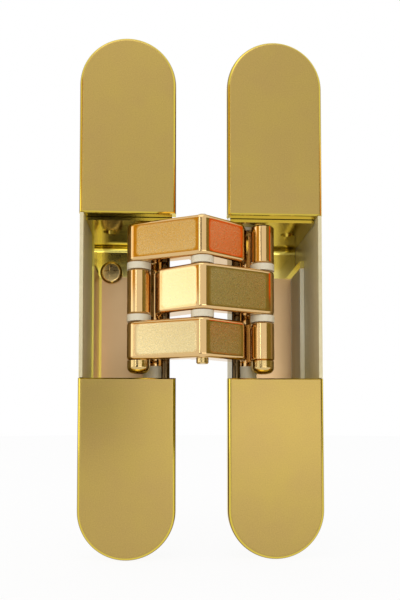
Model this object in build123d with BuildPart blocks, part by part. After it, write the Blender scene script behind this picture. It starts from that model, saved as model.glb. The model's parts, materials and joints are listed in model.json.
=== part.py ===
"""Concealed door hinge: two mortised halves joined by a folding seven-link mechanism.

The hinge is drawn open at 180 degrees. X runs across both halves, Y runs into the depth of the
mortise and Z runs along the pivot pins. The origin is the middle of the frame half, on the plane
where the backs of its end pads rest on the step of the mortise.
"""

import os

from build123d import *

# Outside of one half
BODY_W = 24.0
BODY_L = 130.0
HALF_GAP = 6.4
WALL_LIP = 0.3
PAD_LIP = 1.2
PAD_T = 10.5
CORE_INSET = 2.6
CORE_DEPTH = 31.0
CORE_ROUND = 2.5
CORE_WALL = 2.2

# Pocket between the covers
POCKET_H = 41.0
OUTER_WALL = 0.9
INNER_WALL = 1.2
BACK_WALL = 1.5
NOTCH_DEPTH = 14.0

# Carriage that holds the pins inside the pocket
CARRIAGE_T = 3.2
CARRIAGE_BACK = 2.0
CARRIAGE_SETBACK = 0.4
CARRIAGE_FIT = 0.1
CARRIAGE_ROUND = 1.5
TONGUE_INSET = 1.0
TONGUE_DEPTH = 5.0
CEILING_DROP = 0.9
CHEEK_DEPTH = 12.0
FRAME_CHEEK_T = 0.6
DOOR_CHEEK_T = 1.2
DOOR_CHEEK_GAP = 6.5

# Covers
COVER_T = 3.0
COVER_RIM = 1.0
COVER_END_BEVEL = 0.3
COVER_SKIN = 1.3
COVER_WALL = 1.6
PEG_D = 2.4
PEG_L = 4.0
PEG_HOLE_EXTRA = 0.4
PEG_IN = 8.5
PEG_OUT = 37.0

# Fixing screws of each half
SCREW_Z = 45.0
SCREW_HOLE = 4.5
SCREW_SINK = 8.6

# Clamp screw on the back wall of each pocket
CLAMP_D = 4.0
CLAMP_HEAD_D = 6.4
CLAMP_HEAD_T = 1.6
CLAMP_RECESS = 0.8
CLAMP_RECESS_W = 1.1
CLAMP_RECESS_L = 3.8
CLAMP_Z = 12.0
FRAME_CLAMP_EDGE = 5.4
DOOR_CLAMP_EDGE = 13.4

# Round seat of the height screw in the ceiling and floor of each carriage
HEIGHT_SEAT_D = 3.6
HEIGHT_SEAT_SINK = 0.5
HEIGHT_SEAT_EDGE = 6.4
HEIGHT_SEAT_DEPTH = 13.0

# Pivots, measured out from the middle of the hinge and back from the front plane
CENTRE_DEPTH = -2.5
LINK_OUT = 15.75
LINK_DEPTH = 4.6
ARM_OUT = 9.0
ARM_DEPTH = 5.0
DEEP_OUT = 11.75
DEEP_DEPTH = 10.0

# Rows of the arms
CEILING_GAP = 0.9
FLOOR_GAP = 4.6
MIDDLE_ARM_H = 11.4
ROW_GAP = 1.75
BARREL_DROP = 1.0
SIDE_PLAY = 0.05

# Arm outlines
CENTRE_R = 3.0
LINK_EYE_R = 3.0
ARM_EYE_R = 2.7
LEG_REAR = 1.5
NOSE_R = 1.2
NOSE_OUT = 0.6
NOSE_FORWARD = 2.9
ARM_EDGE = 1.0

# Links
BARREL_R = 2.2
WEB_T = 2.2
LINK_EDGE = 0.4
OPEN_PIVOT_PLAY = 1.15

# Pins and washers
CENTRE_PIN_D = 3.0
LINK_PIN_D = 2.4
ARM_PIN_D = 2.2
DEEP_PIN_D = 2.2
PIN_EDGE = 0.3
PIN_STAND = 0.5
PIN_DROP = 1.4
PIN_HEAD_R = 2.9
PIN_HEAD_T = 3.2
PIN_HEAD_ROUND = 1.6
PIN_CUP_R = 1.3
PIN_CUP_DEPTH = 0.8
CENTRE_WASHER_R = 2.8
LINK_WASHER_R = 3.05
DEEP_WASHER_R = 3.2
FIXED_FIT = 0.02
RUNNING_FIT = 0.05

FRAME = -1
DOOR = 1
SIDE_NAMES = {FRAME: "frame", DOOR: "door"}

# Places worked out from the sizes above
MID_X = BODY_W / 2 + HALF_GAP
FRONT_Y = -(COVER_T + PAD_T)
SEAT_Y = -PAD_T
CORE_BACK_Y = FRONT_Y + CORE_DEPTH
CAVITY_BACK_Y = CORE_BACK_Y - BACK_WALL
POCKET_BACK_Y = CAVITY_BACK_Y - CARRIAGE_BACK
CAVITY_H = POCKET_H + 2 * CARRIAGE_T
CORE_H = CAVITY_H + 2 * CORE_WALL
CEILING_Z = POCKET_H / 2 - CEILING_DROP
FLOOR_Z = -POCKET_H / 2
POCKET_MID_Z = (CEILING_Z + FLOOR_Z) / 2
STACK_H = CEILING_Z - FLOOR_Z - CEILING_GAP - FLOOR_GAP
OUTER_ARM_H = (STACK_H - MIDDLE_ARM_H - 2 * ROW_GAP) / 2
LOWER_BOTTOM = FLOOR_Z + FLOOR_GAP
LOWER_TOP = LOWER_BOTTOM + OUTER_ARM_H
MIDDLE_BOTTOM = LOWER_TOP + ROW_GAP
MIDDLE_TOP = MIDDLE_BOTTOM + MIDDLE_ARM_H
UPPER_BOTTOM = MIDDLE_TOP + ROW_GAP
UPPER_TOP = UPPER_BOTTOM + OUTER_ARM_H
BARREL_BOTTOM = LOWER_BOTTOM - BARREL_DROP
CENTRE = (MID_X, FRONT_Y + CENTRE_DEPTH)


def upright(y):
    """Plane facing the front at depth y, with local x along X and local y along Z."""
    return Plane.XZ.offset(-y)


def pivot(side, out, depth):
    """Plan position of a pivot on one side of the middle of the hinge."""
    return (MID_X + side * out, FRONT_Y + depth)


def link_eye(side):
    return pivot(side, LINK_OUT, LINK_DEPTH)


def arm_eye(side):
    return pivot(side, ARM_OUT, ARM_DEPTH)


def deep_eye(side):
    return pivot(side, DEEP_OUT, DEEP_DEPTH)


def body_centre(side):
    return MID_X + side * (HALF_GAP + BODY_W / 2)


def from_edge(side, inset):
    """X of a place set in from the outer edge of one half."""
    return MID_X + side * (HALF_GAP + BODY_W - inset)


def clamp_place(side):
    inset = FRAME_CLAMP_EDGE if side == FRAME else DOOR_CLAMP_EDGE
    return (from_edge(side, inset), CLAMP_Z)


def peg_places(side):
    """Pegs of the upper cover; the lower cover has them mirrored in Z."""
    inner = POCKET_H / 2 + PEG_IN
    outer = POCKET_H / 2 + PEG_OUT
    return [(body_centre(side), inner), (body_centre(side), outer)]


def core(side):
    """Middle and width of the deep core, which is set in from the inner edge of the covers."""
    inner_face = HALF_GAP + CORE_INSET
    outer_face = HALF_GAP + BODY_W - WALL_LIP
    return MID_X + side * (inner_face + outer_face) / 2, outer_face - inner_face


def cavity(side):
    """Middle and width of the cavity between the two side walls."""
    inner_face = HALF_GAP + CORE_INSET + INNER_WALL
    outer_face = HALF_GAP + BODY_W - WALL_LIP - OUTER_WALL
    return MID_X + side * (inner_face + outer_face) / 2, outer_face - inner_face


def make_housing(side):
    centre = body_centre(side)
    core_x, core_w = core(side)
    cavity_x, cavity_w = cavity(side)
    notch_w = CORE_INSET + INNER_WALL
    notch_x = MID_X + side * (HALF_GAP + notch_w / 2)
    with BuildPart() as housing:
        with BuildSketch(upright(SEAT_Y)):
            with Locations((core_x, 0)):
                Rectangle(core_w, CORE_H)
        extrude(amount=-(CORE_DEPTH - COVER_T))
        back_corners = housing.edges().filter_by(Axis.Z).group_by(Axis.Y)[-1]
        fillet(back_corners, CORE_ROUND)
        with BuildSketch(upright(SEAT_Y)):
            with Locations((centre, 0)):
                SlotOverall(BODY_L - 2 * PAD_LIP, BODY_W - 2 * PAD_LIP, rotation=90)
        extrude(amount=-PAD_T)
        with BuildSketch(upright(FRONT_Y)):
            with Locations((core_x, 0)):
                Rectangle(core_w, POCKET_H - 2 * CARRIAGE_FIT)
        extrude(amount=-COVER_T)
        with BuildSketch(upright(FRONT_Y)):
            with Locations((cavity_x, 0)):
                Rectangle(cavity_w, CAVITY_H)
        extrude(amount=-(CORE_DEPTH - BACK_WALL), mode=Mode.SUBTRACT)
        with BuildSketch(upright(FRONT_Y)):
            with Locations((notch_x, 0)):
                Rectangle(notch_w, CAVITY_H)
        extrude(amount=-NOTCH_DEPTH, mode=Mode.SUBTRACT)
        seats = [Location(upright(SEAT_Y)) * Pos(centre, z) for z in (SCREW_Z, -SCREW_Z)]
        with Locations(*seats):
            CounterSinkHole(SCREW_HOLE / 2, SCREW_SINK / 2, PAD_T)
        with BuildSketch(upright(SEAT_Y)):
            for x, z in peg_places(side):
                with Locations((x, z), (x, -z)):
                    Circle(PEG_D / 2 + RUNNING_FIT)
        extrude(amount=-(PEG_L + PEG_HOLE_EXTRA), mode=Mode.SUBTRACT)
        with BuildSketch(upright(CAVITY_BACK_Y)):
            with Locations(clamp_place(side)):
                Circle(CLAMP_D / 2 + FIXED_FIT)
        extrude(amount=-BACK_WALL, mode=Mode.SUBTRACT)
    return housing.part


def make_carriage(side):
    cavity_x, cavity_w = cavity(side)
    front_y = SEAT_Y + CARRIAGE_SETBACK
    inner_x = cavity_x - side * cavity_w / 2
    outer_x = cavity_x + side * (cavity_w / 2 - CARRIAGE_FIT)
    tongue_w = CORE_INSET + INNER_WALL - TONGUE_INSET + CARRIAGE_FIT
    tongue_x = inner_x - side * (tongue_w / 2 - CARRIAGE_FIT)
    pocket_depth = POCKET_BACK_Y - front_y
    cheek_t = FRAME_CHEEK_T if side == FRAME else DOOR_CHEEK_T
    cheek_top = CEILING_Z if side == FRAME else CEILING_Z - DOOR_CHEEK_GAP
    with BuildPart() as carriage:
        with BuildSketch(upright(front_y)):
            with Locations((cavity_x, 0)):
                Rectangle(cavity_w - 2 * CARRIAGE_FIT, CAVITY_H - 2 * CARRIAGE_FIT)
        extrude(amount=-(CAVITY_BACK_Y - front_y))
        with BuildSketch(upright(front_y)):
            with Locations((tongue_x, 0)):
                Rectangle(tongue_w, CAVITY_H - 2 * CARRIAGE_FIT)
        extrude(amount=-TONGUE_DEPTH)
        with BuildSketch(upright(front_y)):
            with Locations((MID_X + side * HALF_GAP, POCKET_MID_Z)):
                Rectangle(2 * BODY_W, CEILING_Z - FLOOR_Z)
        extrude(amount=-pocket_depth, mode=Mode.SUBTRACT)
        back_corners = carriage.edges().filter_by(Axis.X).group_by(Axis.Y)[-2]
        fillet(back_corners, CARRIAGE_ROUND)
        with BuildSketch(upright(POCKET_BACK_Y)):
            with Locations((outer_x - side * cheek_t / 2, (cheek_top + FLOOR_Z) / 2)):
                Rectangle(cheek_t, cheek_top - FLOOR_Z)
        extrude(amount=CHEEK_DEPTH)
        with BuildSketch(Plane.XY.offset(-CAVITY_H / 2)):
            with Locations(arm_eye(side)):
                Circle(ARM_PIN_D / 2 + FIXED_FIT)
            with Locations(deep_eye(side)):
                Circle(DEEP_PIN_D / 2 + FIXED_FIT)
        extrude(amount=CAVITY_H, mode=Mode.SUBTRACT)
        with BuildSketch(Plane.XY.offset(FLOOR_Z - HEIGHT_SEAT_SINK)):
            with Locations((from_edge(side, HEIGHT_SEAT_EDGE), FRONT_Y + HEIGHT_SEAT_DEPTH)):
                Circle(HEIGHT_SEAT_D / 2)
        extrude(amount=CEILING_Z - FLOOR_Z + 2 * HEIGHT_SEAT_SINK, mode=Mode.SUBTRACT)
        with BuildSketch(upright(POCKET_BACK_Y)):
            with Locations(clamp_place(side)):
                Circle(CLAMP_D / 2 + FIXED_FIT)
        extrude(amount=-CARRIAGE_BACK, mode=Mode.SUBTRACT)
    return carriage.part


def make_cover(side, up):
    """Cap with one round end; up is 1 for the upper cover and -1 for the lower one."""
    centre = body_centre(side)
    half = POCKET_H / 2
    recess_y = FRONT_Y + COVER_SKIN
    with BuildPart() as cover:
        with BuildSketch(upright(FRONT_Y)):
            with Locations((centre, 0)):
                SlotOverall(BODY_L, BODY_W, rotation=90)
            with Locations((centre, up * (half + BODY_L / 2))):
                Rectangle(BODY_W, BODY_L, mode=Mode.INTERSECT)
        extrude(amount=-COVER_T)
        front_edges = cover.faces().sort_by(Axis.Y)[0].edges().sort_by(Axis((0, 0, 0), (0, 0, up)))
        chamfer(front_edges[0], COVER_END_BEVEL)
        front_edges = cover.faces().sort_by(Axis.Y)[0].edges().sort_by(Axis((0, 0, 0), (0, 0, up)))
        fillet(front_edges[1:], COVER_RIM)
        with BuildSketch(upright(recess_y)):
            with Locations((centre, 0)):
                SlotOverall(BODY_L - 2 * COVER_WALL, BODY_W - 2 * COVER_WALL, rotation=90)
            with Locations((centre, up * (half + CARRIAGE_T + COVER_WALL + BODY_L / 2))):
                Rectangle(BODY_W, BODY_L, mode=Mode.INTERSECT)
        extrude(amount=-(COVER_T - COVER_SKIN), mode=Mode.SUBTRACT)
        with BuildSketch(upright(recess_y)):
            with Locations(*[(x, up * z) for x, z in peg_places(side)]):
                Circle(PEG_D / 2)
        extrude(amount=-(COVER_T - COVER_SKIN + PEG_L))
    return cover.part


def make_arm(long_side, bottom, height, long_fit, centre_fit):
    """Arm with a long leg to the link pin on one side and a short leg to the pivot on the other."""
    far = link_eye(long_side)
    near = arm_eye(-long_side)
    nose = (near[0] - long_side * NOSE_OUT, near[1] - NOSE_FORWARD)
    along = Vector(*far) - Vector(*CENTRE)
    reach = along.length
    turn = along.get_signed_angle(Vector(long_side, 0, 0), Vector(0, 0, -1))
    relief_from = CENTRE_R + LEG_REAR
    relief_l = reach - LINK_EYE_R - relief_from
    relief_at = Vector(*CENTRE) + along.normalized() * (relief_from + relief_l / 2)
    with BuildPart() as arm:
        with BuildSketch(Plane.XY.offset(bottom)):
            with Locations(CENTRE):
                Circle(CENTRE_R)
            with Locations(far):
                Circle(LINK_EYE_R)
            make_hull()
            with Locations(Location((relief_at.X, relief_at.Y, 0), (0, 0, turn))):
                with Locations((0, LEG_REAR)):
                    Rectangle(relief_l, CENTRE_R, align=(Align.CENTER, Align.MIN), mode=Mode.SUBTRACT)
        extrude(amount=height)
        with BuildSketch(Plane.XY.offset(bottom)):
            with Locations(CENTRE):
                Circle(CENTRE_R)
            with Locations(nose):
                Circle(NOSE_R)
            with Locations(near):
                Circle(ARM_EYE_R)
            make_hull()
        extrude(amount=height)
        ends = arm.faces().filter_by(Axis.Z)
        fillet(ends.edges(), ARM_EDGE)
        with BuildSketch(Plane.XY.offset(bottom)):
            with Locations(far):
                Circle(LINK_PIN_D / 2 + long_fit)
            with Locations(CENTRE):
                Circle(CENTRE_PIN_D / 2 + centre_fit)
            with Locations(near):
                Circle(ARM_PIN_D / 2 + RUNNING_FIT)
        extrude(amount=height, mode=Mode.SUBTRACT)
    return arm.part


def make_link(side, rows):
    """Link with a tall barrel on the deep pin and a sleeve in each of its rows."""
    eye = link_eye(side)
    deep = deep_eye(side)
    barrel_h = UPPER_TOP - BARREL_BOTTOM
    span = Vector(*deep) - Vector(*eye)
    middle = (Vector(*deep) + Vector(*eye)) / 2
    turn = span.get_signed_angle(Vector(1, 0, 0), Vector(0, 0, -1))
    with BuildPart() as link:
        with BuildSketch(Plane.XY.offset(BARREL_BOTTOM)):
            with Locations(deep):
                Circle(BARREL_R)
        extrude(amount=barrel_h)
        for bottom, top in rows:
            with BuildSketch(Plane.XY.offset(bottom + SIDE_PLAY)):
                with Locations(eye):
                    Circle(LINK_EYE_R)
                with Locations(Location((middle.X, middle.Y, 0), (0, 0, turn))):
                    Rectangle(span.length, WEB_T)
            extrude(amount=top - bottom - 2 * SIDE_PLAY)
        arcs = link.edges().filter_by(GeomType.CIRCLE)
        chamfer(arcs.filter_by(lambda arc: arc.radius > BARREL_R), LINK_EDGE)
        for bottom, top in rows:
            with BuildSketch(Plane.XY.offset(bottom)):
                with Locations(eye):
                    Circle(LINK_PIN_D / 2 + OPEN_PIVOT_PLAY)
            extrude(amount=top - bottom, mode=Mode.SUBTRACT)
        with BuildSketch(Plane.XY.offset(BARREL_BOTTOM)):
            with Locations(deep):
                Circle(DEEP_PIN_D / 2 + RUNNING_FIT)
        extrude(amount=barrel_h, mode=Mode.SUBTRACT)
    return link.part


def make_pin(place, diameter, bottom, top):
    with BuildPart() as pin:
        with BuildSketch(Plane.XY.offset(bottom)):
            with Locations(place):
                Circle(diameter / 2)
        extrude(amount=top - bottom)
        chamfer(pin.edges().filter_by(GeomType.CIRCLE), PIN_EDGE)
    return pin.part


def make_link_pin(side):
    """Pin through all rows, with a round cupped head under the lowest one."""
    place = link_eye(side)
    head_bottom = LOWER_BOTTOM - PIN_HEAD_T
    with BuildPart() as pin:
        with BuildSketch(Plane.XY.offset(LOWER_BOTTOM)):
            with Locations(place):
                Circle(LINK_PIN_D / 2)
        extrude(amount=UPPER_TOP - LOWER_BOTTOM)
        chamfer(pin.edges().sort_by(Axis.Z)[-1], PIN_EDGE)
        with BuildSketch(Plane.XY.offset(head_bottom)):
            with Locations(place):
                Circle(PIN_HEAD_R)
        extrude(amount=PIN_HEAD_T)
        fillet(pin.edges().sort_by(Axis.Z)[0], PIN_HEAD_ROUND)
        with BuildSketch(Plane.XY.offset(head_bottom)):
            with Locations(place):
                Circle(PIN_CUP_R)
        extrude(amount=PIN_CUP_DEPTH, mode=Mode.SUBTRACT)
    return pin.part


def make_washers(place, radius, bore, levels):
    """Group of washers on one pin; each level is a bottom and a top."""
    with BuildPart() as washers:
        for bottom, top in levels:
            with BuildSketch(Plane.XY.offset(bottom + SIDE_PLAY)):
                with Locations(place):
                    Circle(radius)
                    Circle(bore / 2 + RUNNING_FIT, mode=Mode.SUBTRACT)
            extrude(amount=top - bottom - 2 * SIDE_PLAY)
    return washers.part


def make_clamp_screw(side):
    place = clamp_place(side)
    head_y = POCKET_BACK_Y - CLAMP_HEAD_T
    with BuildPart() as screw:
        with BuildSketch(upright(head_y)):
            with Locations(place):
                Circle(CLAMP_HEAD_D / 2)
        extrude(amount=-CLAMP_HEAD_T)
        fillet(screw.edges().sort_by(Axis.Y)[0], CLAMP_HEAD_T / 2)
        with BuildSketch(upright(POCKET_BACK_Y)):
            with Locations(place):
                Circle(CLAMP_D / 2)
        extrude(amount=-(CARRIAGE_BACK + BACK_WALL))
        with BuildSketch(upright(head_y)):
            with Locations(place):
                Rectangle(CLAMP_RECESS_L, CLAMP_RECESS_W)
                Rectangle(CLAMP_RECESS_W, CLAMP_RECESS_L)
        extrude(amount=-CLAMP_RECESS, mode=Mode.SUBTRACT)
    return screw.part


def save(part, name):
    part.label = name
    export_step(part, f"parts/{name}.step")


os.makedirs("parts", exist_ok=True)

upper_row = (UPPER_BOTTOM, UPPER_TOP)
middle_row = (MIDDLE_BOTTOM, MIDDLE_TOP)
lower_row = (LOWER_BOTTOM, LOWER_TOP)
washer_levels = [(LOWER_TOP, MIDDLE_BOTTOM), (MIDDLE_TOP, UPPER_BOTTOM)]
plate_reach = CAVITY_H / 2 - CARRIAGE_FIT
deep_levels = [(FLOOR_Z, BARREL_BOTTOM), (UPPER_TOP, CEILING_Z)]
link_rows = {FRAME: [middle_row], DOOR: [lower_row, upper_row]}

for side, name in SIDE_NAMES.items():
    save(make_housing(side), f"{name}_housing")
    save(make_carriage(side), f"{name}_carriage")
    save(make_cover(side, 1), f"{name}_upper_cover")
    save(make_cover(side, -1), f"{name}_lower_cover")
    save(make_clamp_screw(side), f"{name}_clamp_screw")
    save(make_pin(arm_eye(side), ARM_PIN_D, -plate_reach, plate_reach), f"{name}_arm_pin")
    save(make_pin(deep_eye(side), DEEP_PIN_D, -plate_reach, plate_reach), f"{name}_deep_pin")
    save(make_washers(deep_eye(side), DEEP_WASHER_R, DEEP_PIN_D, deep_levels), f"{name}_deep_washers")
    save(make_link(side, link_rows[side]), f"{name}_link")
    save(make_link_pin(side), f"{name}_link_pin")
    save(make_washers(link_eye(side), LINK_WASHER_R, LINK_PIN_D, washer_levels), f"{name}_link_washers")

save(make_arm(FRAME, UPPER_BOTTOM, OUTER_ARM_H, FIXED_FIT, FIXED_FIT), "upper_outer_arm")
save(make_arm(FRAME, LOWER_BOTTOM, OUTER_ARM_H, FIXED_FIT, FIXED_FIT), "lower_outer_arm")
save(make_arm(DOOR, MIDDLE_BOTTOM, MIDDLE_ARM_H, FIXED_FIT, RUNNING_FIT), "middle_arm")
save(make_pin(CENTRE, CENTRE_PIN_D, LOWER_BOTTOM - PIN_DROP, UPPER_TOP + PIN_STAND), "centre_pin")
save(make_washers(CENTRE, CENTRE_WASHER_R, CENTRE_PIN_D, washer_levels), "centre_washers")
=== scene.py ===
# %% [markdown]
# # A concealed door hinge, open flat
# The hinge disappears in the edges of a door and its frame. Two die-cast halves sit in mortises, and a
# stack of three folding arms swings the door half round. The exact solids come from the CAD frame and
# stay as they are, so this lesson is about finishes, light and the camera.

# %% Load the frame and keep its box
import json
import math

import bpy
import numpy as np
from mathutils import Matrix, Vector

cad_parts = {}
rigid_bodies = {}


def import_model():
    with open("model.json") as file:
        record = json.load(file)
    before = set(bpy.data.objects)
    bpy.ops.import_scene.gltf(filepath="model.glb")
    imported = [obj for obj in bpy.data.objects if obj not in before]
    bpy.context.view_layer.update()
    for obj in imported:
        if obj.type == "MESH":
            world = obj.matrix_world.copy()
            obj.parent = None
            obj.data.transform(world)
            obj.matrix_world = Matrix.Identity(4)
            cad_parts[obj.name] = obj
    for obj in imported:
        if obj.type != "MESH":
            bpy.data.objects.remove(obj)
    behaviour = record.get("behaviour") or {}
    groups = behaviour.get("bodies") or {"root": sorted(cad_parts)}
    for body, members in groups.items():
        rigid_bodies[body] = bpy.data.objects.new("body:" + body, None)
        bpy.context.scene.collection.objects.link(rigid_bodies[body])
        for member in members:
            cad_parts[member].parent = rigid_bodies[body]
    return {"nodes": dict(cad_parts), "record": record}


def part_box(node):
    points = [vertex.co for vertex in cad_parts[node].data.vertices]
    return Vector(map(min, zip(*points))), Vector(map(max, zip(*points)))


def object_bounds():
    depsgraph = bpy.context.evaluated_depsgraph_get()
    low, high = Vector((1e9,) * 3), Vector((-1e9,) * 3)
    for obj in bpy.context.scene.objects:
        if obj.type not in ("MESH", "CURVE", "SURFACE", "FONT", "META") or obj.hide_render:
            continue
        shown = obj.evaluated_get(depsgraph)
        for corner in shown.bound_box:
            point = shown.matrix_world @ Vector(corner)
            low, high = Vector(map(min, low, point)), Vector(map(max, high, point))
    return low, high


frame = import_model()
cad_box = [[float(v) for v in corner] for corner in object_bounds()]
MM = 0.001
print("nodes:", len(frame["nodes"]), "box in mm:", np.round(np.array(cad_box) / MM, 1).tolist())

# %% [markdown]
# ## Helpers for every finish
# Colours are picked as sRGB hex values, as in a paint chart, but shaders calculate in linear light. One
# function does the change. A second one adds a shader node, fills its sockets and joins its links, so
# each finish below reads as a short list of what is laid on the metal. A third one turns the size of a
# pattern into the scale of its texture.

# %% Colour, node and scale helpers
def linear(hex_colour):
    """Linear RGBA of an sRGB hex value: the standard curve, applied to the three channels at once."""
    srgb = np.array([int(hex_colour[i:i + 2], 16) for i in (1, 3, 5)]) / 255
    rgb = np.where(srgb <= 0.04045, srgb / 12.92, ((srgb + 0.055) / 1.055) ** 2.4)
    return (*[float(v) for v in rgb], 1.0)


def add(tree, kind, settings=None, links=None):
    """Add a node; settings go to sockets or properties, links join sockets to the outputs of others."""
    node = tree.nodes.new(kind)
    for key, value in (settings or {}).items():
        if isinstance(key, int) or key in node.inputs:
            node.inputs[key].default_value = value
        else:
            setattr(node, key, value)
    for key, output in (links or {}).items():
        tree.links.new(output, node.inputs[key])
    return node


def per_metre(size_mm):
    """Texture scale whose pattern repeats about once in size_mm, for coordinates in metres."""
    return 1 / (size_mm * MM)


WHITE = linear("#FFFFFF")
print("olive gold in linear light:", [round(v, 3) for v in linear("#B59B55")])

# %% [markdown]
# ## Starting a finish
# Every finish starts with an empty material that has a Principled shader, its output and the object's
# own coordinates. The patterns then stay on the metal when a piece swings.

# %% Start a material
def start_finish(name, settings):
    """Material with a Principled shader; returns it with its tree, shader and coordinates."""
    material = bpy.data.materials.new(name)
    material.use_nodes = True
    tree = material.node_tree
    tree.nodes.clear()
    shader = add(tree, "ShaderNodeBsdfPrincipled", settings)
    add(tree, "ShaderNodeOutputMaterial", links={"Surface": shader.outputs["BSDF"]})
    place = add(tree, "ShaderNodeTexCoord")
    return material, tree, shader, place


print("finishes start from a Principled shader on Object coordinates")

# %% [markdown]
# ## Satin gold covers
# The covers are die-cast zinc, blasted with fine grit and plated in a pale olive gold. The blasting gives
# a dense small grain that spreads reflections, and the round rim was polished afterwards. The rim carries
# painted light: a painted highlight makes its inner half a bright yellow line, and a painted reflection of
# dark surroundings keeps its outer turn darker. The rim could be a second material on picked faces. Here
# the direction of the surface decides: what faces straight out is satin, what leans away is polished and
# gets the painted highlight and reflection. That needs no change to the solids.

# %% Face and rim of a cover
# Limits on the Y part of the surface direction: -1 faces straight out and 0 is an upright side
FACE_Y = (-0.90, -0.985)        # from the rim to the satin face
INNER_RIM_Y = (-0.55, -0.75)    # from the outer turn of the rim to its inner half
SIDE_Y = (-0.25, -0.05)         # from the outer turn of the rim to the upright side


def face_and_rim(tree, place):
    """Two shares from the lean of the surface: 1 on the flat face, and 1 where the rim gets its painted
    highlight.
    """
    facing = add(tree, "ShaderNodeSeparateXYZ", links={0: place.outputs["Normal"]})
    flat = add(tree, "ShaderNodeMapRange",
               {"interpolation_type": "SMOOTHSTEP", "From Min": FACE_Y[0], "From Max": FACE_Y[1]},
               {"Value": facing.outputs["Y"]})
    inner = add(tree, "ShaderNodeMapRange", {"From Min": INNER_RIM_Y[0], "From Max": INNER_RIM_Y[1]},
                {"Value": facing.outputs["Y"]})
    side = add(tree, "ShaderNodeMapRange", {"From Min": SIDE_Y[0], "From Max": SIDE_Y[1]},
               {"Value": facing.outputs["Y"]})
    # share of the painted highlight: the inner half of the rim and the upright side
    painted_rim_sheen = add(tree, "ShaderNodeMath", {"operation": "MAXIMUM"},
                 {0: inner.outputs["Result"], 1: side.outputs["Result"]})
    return flat.outputs["Result"], painted_rim_sheen.outputs[0]


print("satin begins where the Y part passes", FACE_Y[0], "and is full at", FACE_Y[1])

# %% Satin gold
GRIT_MM = 0.3           # real grit is about 0.1 mm; drawn coarser, so that it shows in the render
GRIT_DEPTH = 0.008 * MM
GRIT_ROUGH = (0.30, 0.46)
BLASTED = {"Detail": 3.0, "Roughness": 0.6}  # noise of a blasted surface
FROST = 0.22            # how far the grit lightens and darkens the plate
CLOUD_MM = 9.0          # slow changes in the plating
PLATE_TONES = ("#AF9258", "#B79F52")
# painted reflection and painted highlight: dark outer turn and bright yellow inner half of the rim
RIM_PAINTED_SHEEN_TONES = ("#7E5E20", "#D9C24E")
RIM_ROUGH = 0.10


def satin_gold():
    """Grit-blasted gold plate with a polished rim: a painted highlight on its inner half and a painted dark
    reflection on its outer turn.
    """
    material, tree, shader, place = start_finish("satin_gold_plate", {"Metallic": 1.0})
    flat, painted_rim_sheen = face_and_rim(tree, place)
    # painted highlight and painted reflection on the rim
    rim = add(tree, "ShaderNodeMix",
              {"data_type": "RGBA", 6: linear(RIM_PAINTED_SHEEN_TONES[0]), 7: linear(RIM_PAINTED_SHEEN_TONES[1])}, {0: painted_rim_sheen})
    grit = add(tree, "ShaderNodeTexNoise", {"Scale": per_metre(GRIT_MM)} | BLASTED,
               {"Vector": place.outputs["Object"]})
    cloud = add(tree, "ShaderNodeTexNoise", {"Scale": per_metre(CLOUD_MM), "Detail": 2.0},
                {"Vector": place.outputs["Object"]})
    plate = add(tree, "ShaderNodeMix",
                {"data_type": "RGBA", 6: linear(PLATE_TONES[0]), 7: linear(PLATE_TONES[1])},
                {0: cloud.outputs["Fac"]})
    frost = add(tree, "ShaderNodeMix", {"data_type": "RGBA", "blend_type": "OVERLAY", 0: FROST},
                {6: plate.outputs[2], 7: grit.outputs["Fac"]})
    colour = add(tree, "ShaderNodeMix", {"data_type": "RGBA"},
                 {0: flat, 6: rim.outputs[2], 7: frost.outputs[2]})
    grain = add(tree, "ShaderNodeMapRange", {"To Min": GRIT_ROUGH[0], "To Max": GRIT_ROUGH[1]},
                {"Value": grit.outputs["Fac"]})
    rough = add(tree, "ShaderNodeMix", {2: RIM_ROUGH}, {0: flat, 3: grain.outputs["Result"]})
    bump = add(tree, "ShaderNodeBump", {"Distance": GRIT_DEPTH},
               {"Strength": flat, "Height": grit.outputs["Fac"]})
    tree.links.new(colour.outputs[2], shader.inputs["Base Color"])
    tree.links.new(rough.outputs[0], shader.inputs["Roughness"])
    tree.links.new(bump.outputs["Normal"], shader.inputs["Normal"])
    return material


covers = satin_gold()
print(covers.name, "grit", GRIT_MM, "mm")

# %% [markdown]
# ## Buffed gold links
# The links with their sleeves were buffed all over after plating, so they are mirrors of a warm, slightly
# rosy gold. A little unevenness in the roughness keeps the mirror from looking like glass.

# %% Buffed gold
BUFF_MM = 3.0           # slow changes left by the buffing wheel
BUFF_ROUGH = (0.05, 0.13)
ROSY_GOLD = "#DAB67E"


def buffed_gold():
    """Mirror-bright gold plate."""
    material, tree, shader, place = start_finish("buffed_gold_plate",
                                                 {"Metallic": 1.0, "Base Color": linear(ROSY_GOLD)})
    buff = add(tree, "ShaderNodeTexNoise", {"Scale": per_metre(BUFF_MM), "Detail": 2.0},
               {"Vector": place.outputs["Object"]})
    rough = add(tree, "ShaderNodeMapRange", {"To Min": BUFF_ROUGH[0], "To Max": BUFF_ROUGH[1]},
                {"Value": buff.outputs["Fac"]})
    tree.links.new(rough.outputs["Result"], shader.inputs["Roughness"])
    return material


links = buffed_gold()
print(links.name, ROSY_GOLD)

# %% [markdown]
# ## Arms with satin fields
# Each arm is buffed on its ridge, its ends and its edges. On the two sloping flanks a mask was laid on the
# metal before blasting, so each has a satin field with round corners inside a polished frame. The field
# is worked out from the box of the arm: inside a rounded rectangle the distance past its core is less
# than the corner radius. That follows the metal better than a picked set of faces would.

# %% Fields on the flanks
RIDGE_HALF = 1.6 * MM   # polished strip on each side of the ridge
LONG_END = 2.4 * MM     # polished end of the long leg
SHORT_END = 1.7 * MM    # polished end of the short leg
FIELD_EDGE = 1.1 * MM   # polished frame above and below a field
FIELD_ROUND = 1.1 * MM  # corner radius of a field
FIELD_FADE = (1.3, 0.6)  # where a field begins and is full, in corner radii from its core
FIELD_STEP = 0.03 * MM  # the blasting takes a little metal away
ridge_x = (cad_box[0][0] + cad_box[1][0]) / 2


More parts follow.
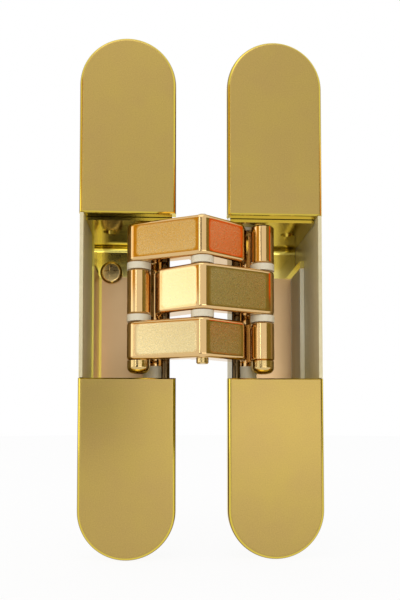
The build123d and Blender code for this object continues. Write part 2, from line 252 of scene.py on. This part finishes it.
def field_mask(tree, place, low, high):
    """1 inside a rounded rectangle between two corners in X and Z, 0 outside it."""
    centre = ((low[0] + high[0]) / 2, 0, (low[1] + high[1]) / 2)
    core = ((high[0] - low[0]) / 2 - FIELD_ROUND, 0, (high[1] - low[1]) / 2 - FIELD_ROUND)
    offset = add(tree, "ShaderNodeVectorMath", {"operation": "SUBTRACT", 1: centre},
                 {0: place.outputs["Object"]})
    size = add(tree, "ShaderNodeVectorMath", {"operation": "ABSOLUTE"}, {0: offset.outputs[0]})
    past = add(tree, "ShaderNodeVectorMath", {"operation": "SUBTRACT", 1: core}, {0: size.outputs[0]})
    corner = add(tree, "ShaderNodeVectorMath", {"operation": "MAXIMUM", 1: (0, 0, 0)},
                 {0: past.outputs[0]})
    level = add(tree, "ShaderNodeVectorMath", {"operation": "MULTIPLY", 1: (1, 0, 1)},
                {0: corner.outputs[0]})
    reach = add(tree, "ShaderNodeVectorMath", {"operation": "LENGTH"}, {0: level.outputs[0]})
    return add(tree, "ShaderNodeMapRange",
               {"interpolation_type": "SMOOTHSTEP",
                "From Min": FIELD_FADE[0] * FIELD_ROUND, "From Max": FIELD_FADE[1] * FIELD_ROUND},
               {"Value": reach.outputs["Value"]})


print("fields start", RIDGE_HALF / MM, "mm from the ridge at", round(ridge_x / MM, 1), "mm")

# %% Arm plate
BLAST_MM = 0.35         # blasting grain, drawn coarse enough to show
BLAST_DEPTH = 0.012 * MM
FIELD_GOLD = "#E6D49F"
FIELD_ROUGH = (0.20, 0.32)
FRAME_ROUGH = 0.08      # the polished frame round a field
FLANK_Y = -0.3          # a flank looks forward: the Y part of its direction is below this


def arm_plate(node):
    """Buffed gold with a satin field on both flanks of one arm."""
    low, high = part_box(node)
    long_left = ridge_x - low[0] > high[0] - ridge_x
    left_end, right_end = (LONG_END, SHORT_END) if long_left else (SHORT_END, LONG_END)
    bottom, top = low[2] + FIELD_EDGE, high[2] - FIELD_EDGE
    material, tree, shader, place = start_finish("satin_field_gold_" + node, {"Metallic": 1.0})
    left = field_mask(tree, place, (low[0] + left_end, bottom), (ridge_x - RIDGE_HALF, top))
    right = field_mask(tree, place, (ridge_x + RIDGE_HALF, bottom), (high[0] - right_end, top))
    both = add(tree, "ShaderNodeMath", {"operation": "MAXIMUM"},
               {0: left.outputs["Result"], 1: right.outputs["Result"]})
    facing = add(tree, "ShaderNodeSeparateXYZ", links={0: place.outputs["Normal"]})
    front = add(tree, "ShaderNodeMath", {"operation": "LESS_THAN", 1: FLANK_Y}, {0: facing.outputs["Y"]})
    field = add(tree, "ShaderNodeMath", {"operation": "MULTIPLY"},
                {0: both.outputs[0], 1: front.outputs[0]})
    blast = add(tree, "ShaderNodeTexNoise", {"Scale": per_metre(BLAST_MM)} | BLASTED,
                {"Vector": place.outputs["Object"]})
    colour = add(tree, "ShaderNodeMix",
                 {"data_type": "RGBA", 6: linear(ROSY_GOLD), 7: linear(FIELD_GOLD)},
                 {0: field.outputs[0]})
    grain = add(tree, "ShaderNodeMapRange", {"To Min": FIELD_ROUGH[0], "To Max": FIELD_ROUGH[1]},
                {"Value": blast.outputs["Fac"]})
    rough = add(tree, "ShaderNodeMix", {2: FRAME_ROUGH},
                {0: field.outputs[0], 3: grain.outputs["Result"]})
    sunk = add(tree, "ShaderNodeBump", {"Distance": FIELD_STEP, "invert": True},
               {"Height": field.outputs[0]})
    bump = add(tree, "ShaderNodeBump", {"Distance": BLAST_DEPTH},
               {"Strength": field.outputs[0], "Height": blast.outputs["Fac"],
                "Normal": sunk.outputs["Normal"]})
    tree.links.new(colour.outputs[2], shader.inputs["Base Color"])
    tree.links.new(rough.outputs[0], shader.inputs["Roughness"])
    tree.links.new(bump.outputs["Normal"], shader.inputs["Normal"])
    return material


ARMS = ("upper_outer_arm", "middle_arm", "lower_outer_arm")
arms = {node: arm_plate(node) for node in ARMS}
print([material.name for material in arms.values()])

# %% [markdown]
# ## Cast housings
# The housings are hidden in the wood, so they are thinly plated straight over the cast skin. Die casting
# leaves a soft orange-peel surface and a colour between grey and olive. Inside the pockets the side walls
# are dull, and a paler colour is painted on them as light, so they look lit inside the shaded pocket. A
# wall inside a pocket looks back to the middle of the hinge, so the product of its place and its direction
# is negative there, and it is zero on the front edge of that wall. A limit just above zero picks out both.

# %% Dull walls of a pocket, with painted light
WALL_FROM = 29.1 * MM   # the outer walls lie beyond this distance from the middle of the hinge
WALL_HALF = 23.0 * MM   # half the height in which they are bare
INWARD_LIMIT = 1 * MM   # the limit just above zero


def place_and_direction(tree, place):
    """Place from the middle of the hinge and direction of the surface, both split into X, Y and Z."""
    offset = add(tree, "ShaderNodeVectorMath", {"operation": "SUBTRACT", 1: (ridge_x, 0, 0)},
                 {0: place.outputs["Object"]})
    across = add(tree, "ShaderNodeSeparateXYZ", links={0: offset.outputs[0]})
    facing = add(tree, "ShaderNodeSeparateXYZ", links={0: place.outputs["Normal"]})
    return across, facing


# share of the dull pocket walls that get painted light
def dull_walls_painted_light(tree, place):
    """1 where X of place times X of direction is under the limit, far out and not too high or low."""
    across, facing = place_and_direction(tree, place)
    away = add(tree, "ShaderNodeMath", {"operation": "MULTIPLY"},
               {0: across.outputs["X"], 1: facing.outputs["X"]})
    inward = add(tree, "ShaderNodeMath", {"operation": "LESS_THAN", 1: INWARD_LIMIT}, {0: away.outputs[0]})
    out = add(tree, "ShaderNodeMath", {"operation": "ABSOLUTE"}, {0: across.outputs["X"]})
    wall = add(tree, "ShaderNodeMath", {"operation": "GREATER_THAN", 1: WALL_FROM}, {0: out.outputs[0]})
    rise = add(tree, "ShaderNodeMath", {"operation": "ABSOLUTE"}, {0: across.outputs["Z"]})
    near = add(tree, "ShaderNodeMath", {"operation": "LESS_THAN", 1: WALL_HALF}, {0: rise.outputs[0]})
    inner = add(tree, "ShaderNodeMath", {"operation": "MULTIPLY"},
                {0: wall.outputs[0], 1: inward.outputs[0]})
    dull_painted_light_wall = add(tree, "ShaderNodeMath", {"operation": "MULTIPLY"}, {0: inner.outputs[0], 1: near.outputs[0]})
    return dull_painted_light_wall.outputs[0]


print("bare walls beyond", round(WALL_FROM / MM, 1), "mm from the middle")

# %% Cast housing
SKIN_MM = 1.4           # orange peel of the casting
SKIN_DEPTH = 0.03 * MM
SKIN_STRENGTH = 0.6
SPECK_MM = 0.3          # dull specks
CAST_ROUGH = (0.34, 0.52)
CAST_TONES = ("#B4A883", "#C6BB98")
CAST_METAL = 0.85
# painted light: paler than the cast tones, so the pocket walls look lit
WALL_PAINTED_LIGHT_TONES = ("#D4C99E", "#E6DDB8")
WALL_METAL = 0.25


def cast_housing():
    """Thin plating on a cast skin: grey olive metal, dull on the walls inside the pockets, where a paler
    colour is painted light.
    """
    material, tree, shader, place = start_finish("plated_zinc_casting", {})
    skin = add(tree, "ShaderNodeTexNoise", {"Scale": per_metre(SKIN_MM), "Detail": 2.0},
               {"Vector": place.outputs["Object"]})
    speck = add(tree, "ShaderNodeTexNoise", {"Scale": per_metre(SPECK_MM), "Detail": 2.0},
                {"Vector": place.outputs["Object"]})
    dull_painted_light_wall = dull_walls_painted_light(tree, place)
    olive = add(tree, "ShaderNodeMix",
                {"data_type": "RGBA", 6: linear(CAST_TONES[0]), 7: linear(CAST_TONES[1])},
                {0: skin.outputs["Fac"]})
    # painted light: the paler tones of the pocket walls
    painted_light_wall = add(tree, "ShaderNodeMix",
               {"data_type": "RGBA", 6: linear(WALL_PAINTED_LIGHT_TONES[0]), 7: linear(WALL_PAINTED_LIGHT_TONES[1])},
               {0: skin.outputs["Fac"]})
    colour = add(tree, "ShaderNodeMix", {"data_type": "RGBA"},
                 {0: dull_painted_light_wall, 6: olive.outputs[2], 7: painted_light_wall.outputs[2]})
    metal = add(tree, "ShaderNodeMix", {2: CAST_METAL, 3: WALL_METAL}, {0: dull_painted_light_wall})
    rough = add(tree, "ShaderNodeMapRange", {"To Min": CAST_ROUGH[0], "To Max": CAST_ROUGH[1]},
                {"Value": speck.outputs["Fac"]})
    bump = add(tree, "ShaderNodeBump", {"Strength": SKIN_STRENGTH, "Distance": SKIN_DEPTH},
               {"Height": skin.outputs["Fac"]})
    tree.links.new(colour.outputs[2], shader.inputs["Base Color"])
    tree.links.new(metal.outputs[0], shader.inputs["Metallic"])
    tree.links.new(rough.outputs["Result"], shader.inputs["Roughness"])
    tree.links.new(bump.outputs["Normal"], shader.inputs["Normal"])
    return material


housings = cast_housing()
print(housings.name, "cast skin", SKIN_MM, "mm")

# %% [markdown]
# ## Carriages
# Each pocket is lined by a carriage that slides when the door is adjusted. Its back wall is a dull rosy
# plate. Above that, and on the ceiling and the floor, it is polished to a deeper gold and slightly wavy
# from the casting, so mirror images swim a little. A painted highlight, a bright yellow line, runs on the
# rounded corners and on the thin edge of the cheek in the frame half. The cheek of the door half was
# milled for a good fit, which leaves it dull with streaks along the cut; its pale colour is painted light
# for the light that falls on it. As on the covers, the direction of the surface and its place decide which
# is which.

# %% Parts of a carriage
CHEEK_FROM = 27.8 * MM  # how far out from the middle of the hinge the cheeks begin
PLATE_TOP = 11.2 * MM   # height at which the dull back plate ends
PLATE_FADE = 0.5 * MM
LEVEL_Z = 0.85          # ceilings and floors have more than this as the Z part of their direction
BENT_Z = 0.15           # the rounded corners have more than this
EDGE_Y = -0.5           # the edge of a cheek looks forward: the Y part of its direction is below this


def carriage_parts(tree, place):
    """Three shares: bright is high up or bent, the milled cheek with its painted light is the rest of the
    door end, and the painted yellow highlight goes on the corners, bent but not level, and on the front
    edge at the frame end."""
    across, facing = place_and_direction(tree, place)
    steep = add(tree, "ShaderNodeMath", {"operation": "ABSOLUTE"}, {0: facing.outputs["Z"]})
    level = add(tree, "ShaderNodeMath", {"operation": "GREATER_THAN", 1: LEVEL_Z}, {0: steep.outputs[0]})
    bent = add(tree, "ShaderNodeMath", {"operation": "GREATER_THAN", 1: BENT_Z}, {0: steep.outputs[0]})
    corner = add(tree, "ShaderNodeMath", {"operation": "SUBTRACT"},
                 {0: bent.outputs[0], 1: level.outputs[0]})
    upper = add(tree, "ShaderNodeMapRange", {"From Min": PLATE_TOP - PLATE_FADE, "From Max": PLATE_TOP},
                {"Value": across.outputs["Z"]})
    bright = add(tree, "ShaderNodeMath", {"operation": "MAXIMUM"},
                 {0: upper.outputs["Result"], 1: bent.outputs[0]})
    door_end = add(tree, "ShaderNodeMath", {"operation": "GREATER_THAN", 1: CHEEK_FROM},
                   {0: across.outputs["X"]})
    cheek = add(tree, "ShaderNodeMath", {"operation": "SUBTRACT", "use_clamp": True},
                {0: door_end.outputs[0], 1: bright.outputs[0]})
    frame_end = add(tree, "ShaderNodeMath", {"operation": "LESS_THAN", 1: -CHEEK_FROM},
                    {0: across.outputs["X"]})
    front = add(tree, "ShaderNodeMath", {"operation": "LESS_THAN", 1: EDGE_Y}, {0: facing.outputs["Y"]})
    edge = add(tree, "ShaderNodeMath", {"operation": "MULTIPLY"},
               {0: frame_end.outputs[0], 1: front.outputs[0]})
    painted_edge_highlight = add(tree, "ShaderNodeMath", {"operation": "MAXIMUM"},
                 {0: edge.outputs[0], 1: corner.outputs[0]})
    return bright.outputs[0], cheek.outputs[0], painted_edge_highlight.outputs[0]


print("back plates end at", round(PLATE_TOP / MM, 1), "mm, cheeks start at", round(CHEEK_FROM / MM, 1))

# %% Bright plated carriage
WAVE_MM = 7.0           # slow waves of the large faces
WAVE_DEPTH = 0.05 * MM
WAVE_STRENGTH = 0.5
BACK_TONES = ("#D4B184", "#DBB98C")
BACK_ROUGH = 0.34
DEEP_GOLD = "#DCCB74"
DEEP_GOLD_ROUGH = 0.12
# painted highlight: the bright yellow line on the corners and the cheek edge
EDGE_PAINTED_HIGHLIGHT = "#F4E476"
# painted light: near-white tones that stand in for the light on the door-end cheek
CHEEK_PAINTED_LIGHT_TONES = ("#EFE6C0", "#FFFBEA")
MILLED_ROUGH = 0.45
MILLED_METAL = 0.15
STREAK_MM = 0.5         # milling streaks, drawn coarse enough to show
STREAK_STRETCH = 25.0


def bright_carriage():
    """Dull rosy back plate, polished deeper gold around it, a painted yellow highlight on the edges and
    painted light on one milled cheek.
    """
    material, tree, shader, place = start_finish("bright_plated_casting", {})
    bright, cheek, painted_edge_highlight = carriage_parts(tree, place)
    wave = add(tree, "ShaderNodeTexNoise", {"Scale": per_metre(WAVE_MM), "Detail": 1.0},
               {"Vector": place.outputs["Object"]})
    drawn = add(tree, "ShaderNodeMapping", {"Scale": (1.0, 1.0, 1 / STREAK_STRETCH)},
                {"Vector": place.outputs["Object"]})
    streak = add(tree, "ShaderNodeTexNoise", {"Scale": per_metre(STREAK_MM), "Detail": 3.0},
                 {"Vector": drawn.outputs["Vector"]})
    rosy = add(tree, "ShaderNodeMix",
               {"data_type": "RGBA", 6: linear(BACK_TONES[0]), 7: linear(BACK_TONES[1])},
               {0: wave.outputs["Fac"]})
    plate = add(tree, "ShaderNodeMix", {"data_type": "RGBA", 7: linear(DEEP_GOLD)},
                {0: bright, 6: rosy.outputs[2]})
    # painted highlight: the yellow line on the corners and the cheek edge
    lined = add(tree, "ShaderNodeMix", {"data_type": "RGBA", 7: linear(EDGE_PAINTED_HIGHLIGHT)},
                {0: painted_edge_highlight, 6: plate.outputs[2]})
    # painted light: the pale tones of the door-end cheek, with its streak grain
    painted_lit_cheek = add(tree, "ShaderNodeMix",
                 {"data_type": "RGBA", 6: linear(CHEEK_PAINTED_LIGHT_TONES[0]), 7: linear(CHEEK_PAINTED_LIGHT_TONES[1])},
                 {0: streak.outputs["Fac"]})
    colour = add(tree, "ShaderNodeMix", {"data_type": "RGBA"},
                 {0: cheek, 6: lined.outputs[2], 7: painted_lit_cheek.outputs[2]})
    sheen = add(tree, "ShaderNodeMix", {2: BACK_ROUGH, 3: DEEP_GOLD_ROUGH}, {0: bright})
    rough = add(tree, "ShaderNodeMix", {3: MILLED_ROUGH}, {0: cheek, 2: sheen.outputs[0]})
    metal = add(tree, "ShaderNodeMix", {2: 1.0, 3: MILLED_METAL}, {0: cheek})
    bump = add(tree, "ShaderNodeBump", {"Strength": WAVE_STRENGTH, "Distance": WAVE_DEPTH},
               {"Height": wave.outputs["Fac"]})
    tree.links.new(colour.outputs[2], shader.inputs["Base Color"])
    tree.links.new(metal.outputs[0], shader.inputs["Metallic"])
    tree.links.new(rough.outputs[0], shader.inputs["Roughness"])
    tree.links.new(bump.outputs["Normal"], shader.inputs["Normal"])
    return material


carriages = bright_carriage()
print(carriages.name, "waves", WAVE_MM, "mm")

# %% [markdown]
# ## Washers
# Light grey washers of moulded acetal keep the metal rows apart. Acetal is slippery and slightly waxy, so
# it is a smooth plastic with a soft highlight and a faint mould grain.

# %% Acetal washers
MOULD_MM = 0.6
ACETAL_IOR = 1.48
ACETAL_TONES = ("#E2D9BE", "#EAE2CB")
ACETAL_ROUGH = (0.36, 0.48)


def acetal():
    """Moulded light grey acetal."""
    material, tree, shader, place = start_finish("grey_acetal", {"IOR": ACETAL_IOR})
    mould = add(tree, "ShaderNodeTexNoise", {"Scale": per_metre(MOULD_MM), "Detail": 2.0},
                {"Vector": place.outputs["Object"]})
    colour = add(tree, "ShaderNodeMix",
                 {"data_type": "RGBA", 6: linear(ACETAL_TONES[0]), 7: linear(ACETAL_TONES[1])},
                 {0: mould.outputs["Fac"]})
    rough = add(tree, "ShaderNodeMapRange", {"To Min": ACETAL_ROUGH[0], "To Max": ACETAL_ROUGH[1]},
                {"Value": mould.outputs["Fac"]})
    tree.links.new(colour.outputs[2], shader.inputs["Base Color"])
    tree.links.new(rough.outputs["Result"], shader.inputs["Roughness"])
    return material


washers = acetal()
print(washers.name, "mould grain", MOULD_MM, "mm")

# %% [markdown]
# ## Pins and screws
# Pins and screws are turned from steel and plated. The pivots held in the carriages are only burnished, so
# they stay dark. Turning leaves fine rings round the pin, which are stretched noise here: fine along the
# pin, long around it.

# %% Turned steel
RING_MM = 0.25
RING_STRETCH = 14.0
TURNED_ROUGH = (0.07, 0.16)


def turned_steel(name, deep, light):
    """Turned steel with faint rings between two tones."""
    material, tree, shader, place = start_finish(name, {"Metallic": 1.0})
    squeeze = add(tree, "ShaderNodeMapping", {"Scale": (1 / RING_STRETCH, 1 / RING_STRETCH, 1.0)},
                  {"Vector": place.outputs["Object"]})
    ring = add(tree, "ShaderNodeTexNoise", {"Scale": per_metre(RING_MM), "Detail": 2.0},
               {"Vector": squeeze.outputs["Vector"]})
    colour = add(tree, "ShaderNodeMix", {"data_type": "RGBA", 6: linear(deep), 7: linear(light)},
                 {0: ring.outputs["Fac"]})
    rough = add(tree, "ShaderNodeMapRange", {"To Min": TURNED_ROUGH[0], "To Max": TURNED_ROUGH[1]},
                {"Value": ring.outputs["Fac"]})
    tree.links.new(colour.outputs[2], shader.inputs["Base Color"])
    tree.links.new(rough.outputs["Result"], shader.inputs["Roughness"])
    return material


pins = turned_steel("plated_turned_steel", "#CDB075", "#D4B87C")
pivots = turned_steel("burnished_turned_steel", "#4A3A24", "#5C4A30")
print(pins.name, pivots.name, "rings", RING_MM, "mm")

# %% [markdown]
# ## Which piece has which finish
# The record of the frame names a slot for each piece. The finishes above take the place of those slots on
# the CAD objects, whose meshes stay untouched. The arms and the dark pivots have finishes of their own.

# %% Give the finishes to the pieces
FINISH = {
    "satin_gold": covers,
    "polished_gold": links,
    "cast_housing": housings,
    "plated_carriage": carriages,
    "grey_plastic": washers,
    "pin_steel": pins,
}
PIVOTS = ("frame_arm_pin", "door_arm_pin", "frame_deep_pin", "door_deep_pin")
own_finish = arms | {node: pivots for node in PIVOTS}
for piece in frame["record"]["subparts"]:
    node = bpy.data.objects[piece["node"]]
    for slot in node.material_slots:
        slot.material = own_finish.get(piece["node"], FINISH[piece["material_slot"]])

# %% [markdown]
# ## Floor and white surroundings
# The hinge stands on a white table in a white room. The floor is a disc from a polar grid. What the camera
# and mirrors see of it is mostly plain white, with enough real shading left for a soft shadow.

# %% Floor
FLOOR_R = 1.2
FLOOR_DROP = 0.05 * MM


def disc(name, radius, height, rings=12, sectors=96):
    """Flat disc: radius grows along one parameter, the angle runs along the other."""
    u, v = np.meshgrid(np.linspace(0.0, 1.0, rings + 1)[1:], np.arange(sectors) / sectors, indexing="ij")
    x = radius * u * np.cos(2 * np.pi * v)
    y = radius * u * np.sin(2 * np.pi * v)
    points = np.stack([x, y, np.full_like(x, height)], axis=-1).reshape(-1, 3)
    i, j = np.meshgrid(np.arange(rings - 1), np.arange(sectors), indexing="ij")
    k = (j + 1) % sectors
    quads = np.stack([i * sectors + j, (i + 1) * sectors + j, (i + 1) * sectors + k, i * sectors + k],
                     axis=-1)
    mesh = bpy.data.meshes.new(name)
    mesh.from_pydata(points.tolist(), [], quads.reshape(-1, 4).tolist() + [list(range(sectors))])
    obj = bpy.data.objects.new(name, mesh)
    bpy.context.scene.collection.objects.link(obj)
    return obj


floor_z = cad_box[0][2] - FLOOR_DROP
floor = disc("white_table", FLOOR_R, floor_z)
print("floor at", round(floor_z / MM, 2), "mm")

# %% White table
SHADE_SHARE = 0.08      # how much real shading the seen floor keeps


def seen_rays(tree):
    """1 for rays from the camera, from mirrors and through glass, 0 for light that bounces."""
    path = add(tree, "ShaderNodeLightPath")
    mirror = add(tree, "ShaderNodeMath", {"operation": "MAXIMUM"},
                 {0: path.outputs["Is Camera Ray"], 1: path.outputs["Is Glossy Ray"]})
    return add(tree, "ShaderNodeMath", {"operation": "MAXIMUM"},
               {0: mirror.outputs[0], 1: path.outputs["Is Transmission Ray"]})


table = bpy.data.materials.new("white_table_top")
table.use_nodes = True
tree = table.node_tree
tree.nodes.clear()
seen = seen_rays(tree)
share = add(tree, "ShaderNodeMath", {"operation": "MULTIPLY", 1: 1 - SHADE_SHARE}, {0: seen.outputs[0]})
paint = add(tree, "ShaderNodeBsdfDiffuse", {"Color": WHITE})
plain = add(tree, "ShaderNodeEmission", {"Strength": 1.0})
mixed = add(tree, "ShaderNodeMixShader",
            links={0: share.outputs[0], 1: paint.outputs["BSDF"], 2: plain.outputs["Emission"]})
add(tree, "ShaderNodeOutputMaterial", links={"Surface": mixed.outputs["Shader"]})
floor.data.materials.append(table)
print(table.name)

# %% [markdown]
# ## The room
# The room is plain white wherever the camera or a mirror looks, so gold shows its own colour in it. Light
# that bounces off dull surfaces gets a slightly lower level, which leaves the lamps something to add.

# %% Room light
ROOM_LEVEL = 0.75

world = bpy.data.worlds.new("white_room")
bpy.context.scene.world = world
world.use_nodes = True
tree = world.node_tree
tree.nodes.clear()
seen = seen_rays(tree)
strength = add(tree, "ShaderNodeMix", {2: ROOM_LEVEL, 3: 1.0}, {0: seen.outputs[0]})
room = add(tree, "ShaderNodeBackground", {"Color": WHITE}, {"Strength": strength.outputs[0]})
add(tree, "ShaderNodeOutputWorld", links={"Surface": room.outputs["Background"]})
print("room light", ROOM_LEVEL)

# %% [markdown]
# ## Soft boxes
# A soft box on the left makes the pale flanks. Narrow strips draw the pale lines down the sleeves, a low
# lamp in front lifts the lower covers, and one lamp above catches the upper edges.

# %% Places round the hinge
middle = Vector([(a + b) / 2 for a, b in zip(*cad_box)])


def around(azimuth, distance, height):
    """Place round the hinge; azimuth 0 is in front and 90 on the right, in degrees."""
    angle = math.radians(azimuth)
    return middle + Vector((distance * math.sin(angle), -distance * math.cos(angle), height))


def face_hinge(obj, place):
    """Put an object at its place with its lit side towards the hinge."""
    obj.location = place
    obj.rotation_euler = (middle - place).to_track_quat("-Z", "Y").to_euler()
    bpy.context.scene.collection.objects.link(obj)
    return obj


print("middle of the hinge in mm:", [round(v / MM, 1) for v in middle])

# %% Lamps
# Each lamp: azimuth in degrees, distance and height in metres; width and height in metres; brightness
LAMPS = {
    "left_soft_box": ((-76, 0.50, 0.07), (0.29, 0.27), 0.75),
    "sleeve_strip": ((-27, 0.50, 0.10), (0.022, 0.30), 4.0),
    "left_sleeve_strip": ((-54, 0.50, 0.02), (0.018, 0.12), 1.8),
    "right_strip": ((102, 0.50, 0.05), (0.12, 0.40), 1.2),
    "low_soft_box": ((13, 0.45, -0.022), (0.30, 0.07), 2.3),
    "top_soft_box": ((-20, 0.35, 0.60), (0.40, 0.30), 1.4),
}


def soft_box(name, place, size, brightness):
    """Rectangular lamp; its power makes a mirror show it at the given brightness."""
    lamp = bpy.data.lights.new(name, "AREA")
    lamp.shape = "RECTANGLE"
    lamp.size, lamp.size_y = size
    lamp.energy = brightness * math.pi * size[0] * size[1]
    return face_hinge(bpy.data.objects.new(name, lamp), place)


for name, (place, size, brightness) in LAMPS.items():
    soft_box(name, around(*place), size, brightness)
print("soft boxes:", len(LAMPS))

# %% [markdown]
# ## Coloured cards
# Photographers of bright metal put cards beside it, because a mirror needs something to show. A tan card
# on the right darkens the right flanks, an orange one above it glows in the top arm, and an amber one
# stands on the upper left. A ceiling and a back wall together send a ray back where it came from, so a
# dark card beside the lens makes the left ceiling deep. A small one above the lens darkens the polished
# strip below that ceiling. All are part of the studio and stay out of the picture itself.

# %% Cards
# Each card: azimuth in degrees, distance and height in metres; width and height in metres; colour
CARDS = {
    "tan_card": ((60, 0.50, 0.07), (0.52, 0.30), "#968C4E"),
    "orange_card": ((73, 0.46, 0.16), (0.15, 0.14), "#FF6E18"),
    "amber_card": ((-53, 0.50, 0.230), (0.30, 0.25), "#E8B22C"),
    "dark_card": ((-19, 0.120, -0.020), (0.038, 0.030), "#120D05"),
    "upper_dark_card": ((-14, 0.177, 0.064), (0.026, 0.020), "#1E1608"),
}


def card(name, place, size, colour):
    """Flat dull card, hidden from the camera: a unit square scaled to its size."""
    u, v = np.meshgrid([-0.5, 0.5], [-0.5, 0.5])
    points = np.stack([u * size[0], v * size[1], np.zeros_like(u)], axis=-1).reshape(-1, 3)
    mesh = bpy.data.meshes.new(name)
    mesh.from_pydata(points.tolist(), [], [[0, 1, 3, 2]])
    paper = bpy.data.materials.new(name)
    paper.use_nodes = True
    paper.node_tree.nodes.clear()
    dull = add(paper.node_tree, "ShaderNodeBsdfDiffuse", {"Color": linear(colour)})
    add(paper.node_tree, "ShaderNodeOutputMaterial", links={"Surface": dull.outputs["BSDF"]})
    mesh.materials.append(paper)
    obj = face_hinge(bpy.data.objects.new(name, mesh), place)
    obj.visible_camera = False
    return obj


for name, (place, size, colour) in CARDS.items():
    card(name, around(*place), size, colour)
print("cards:", len(CARDS))

# %% [markdown]
# ## Camera
# The photograph looks straight at the plates from slightly below their middle, from close by, so that the
# ceilings of the pockets show. A lens shift keeps the plates upright in the picture.

# %% Camera
EYE = (10.9 * MM, -160.0 * MM, -30.8 * MM)
TILT_UP = 0.040         # radians
TURN_RIGHT = 0.048      # radians
LENS_MM = 35.84
SHIFT_Y = 0.16
NEAR_CLIP = 10 * MM

camera_data = bpy.data.cameras.new("camera")
camera_data.lens = LENS_MM
camera_data.shift_y = SHIFT_Y
camera_data.clip_start = NEAR_CLIP
camera = bpy.data.objects.new("camera", camera_data)
ahead = Vector((math.sin(TURN_RIGHT) * math.cos(TILT_UP), math.cos(TURN_RIGHT) * math.cos(TILT_UP),
                math.sin(TILT_UP)))
camera.matrix_world = Matrix.Translation(EYE) @ ahead.to_track_quat("-Z", "Y").to_matrix().to_4x4()
bpy.context.scene.collection.objects.link(camera)
bpy.context.scene.camera = camera
bpy.context.scene.view_settings.view_transform = "Standard"
print("camera", [round(v / MM, 1) for v in EYE], "mm")
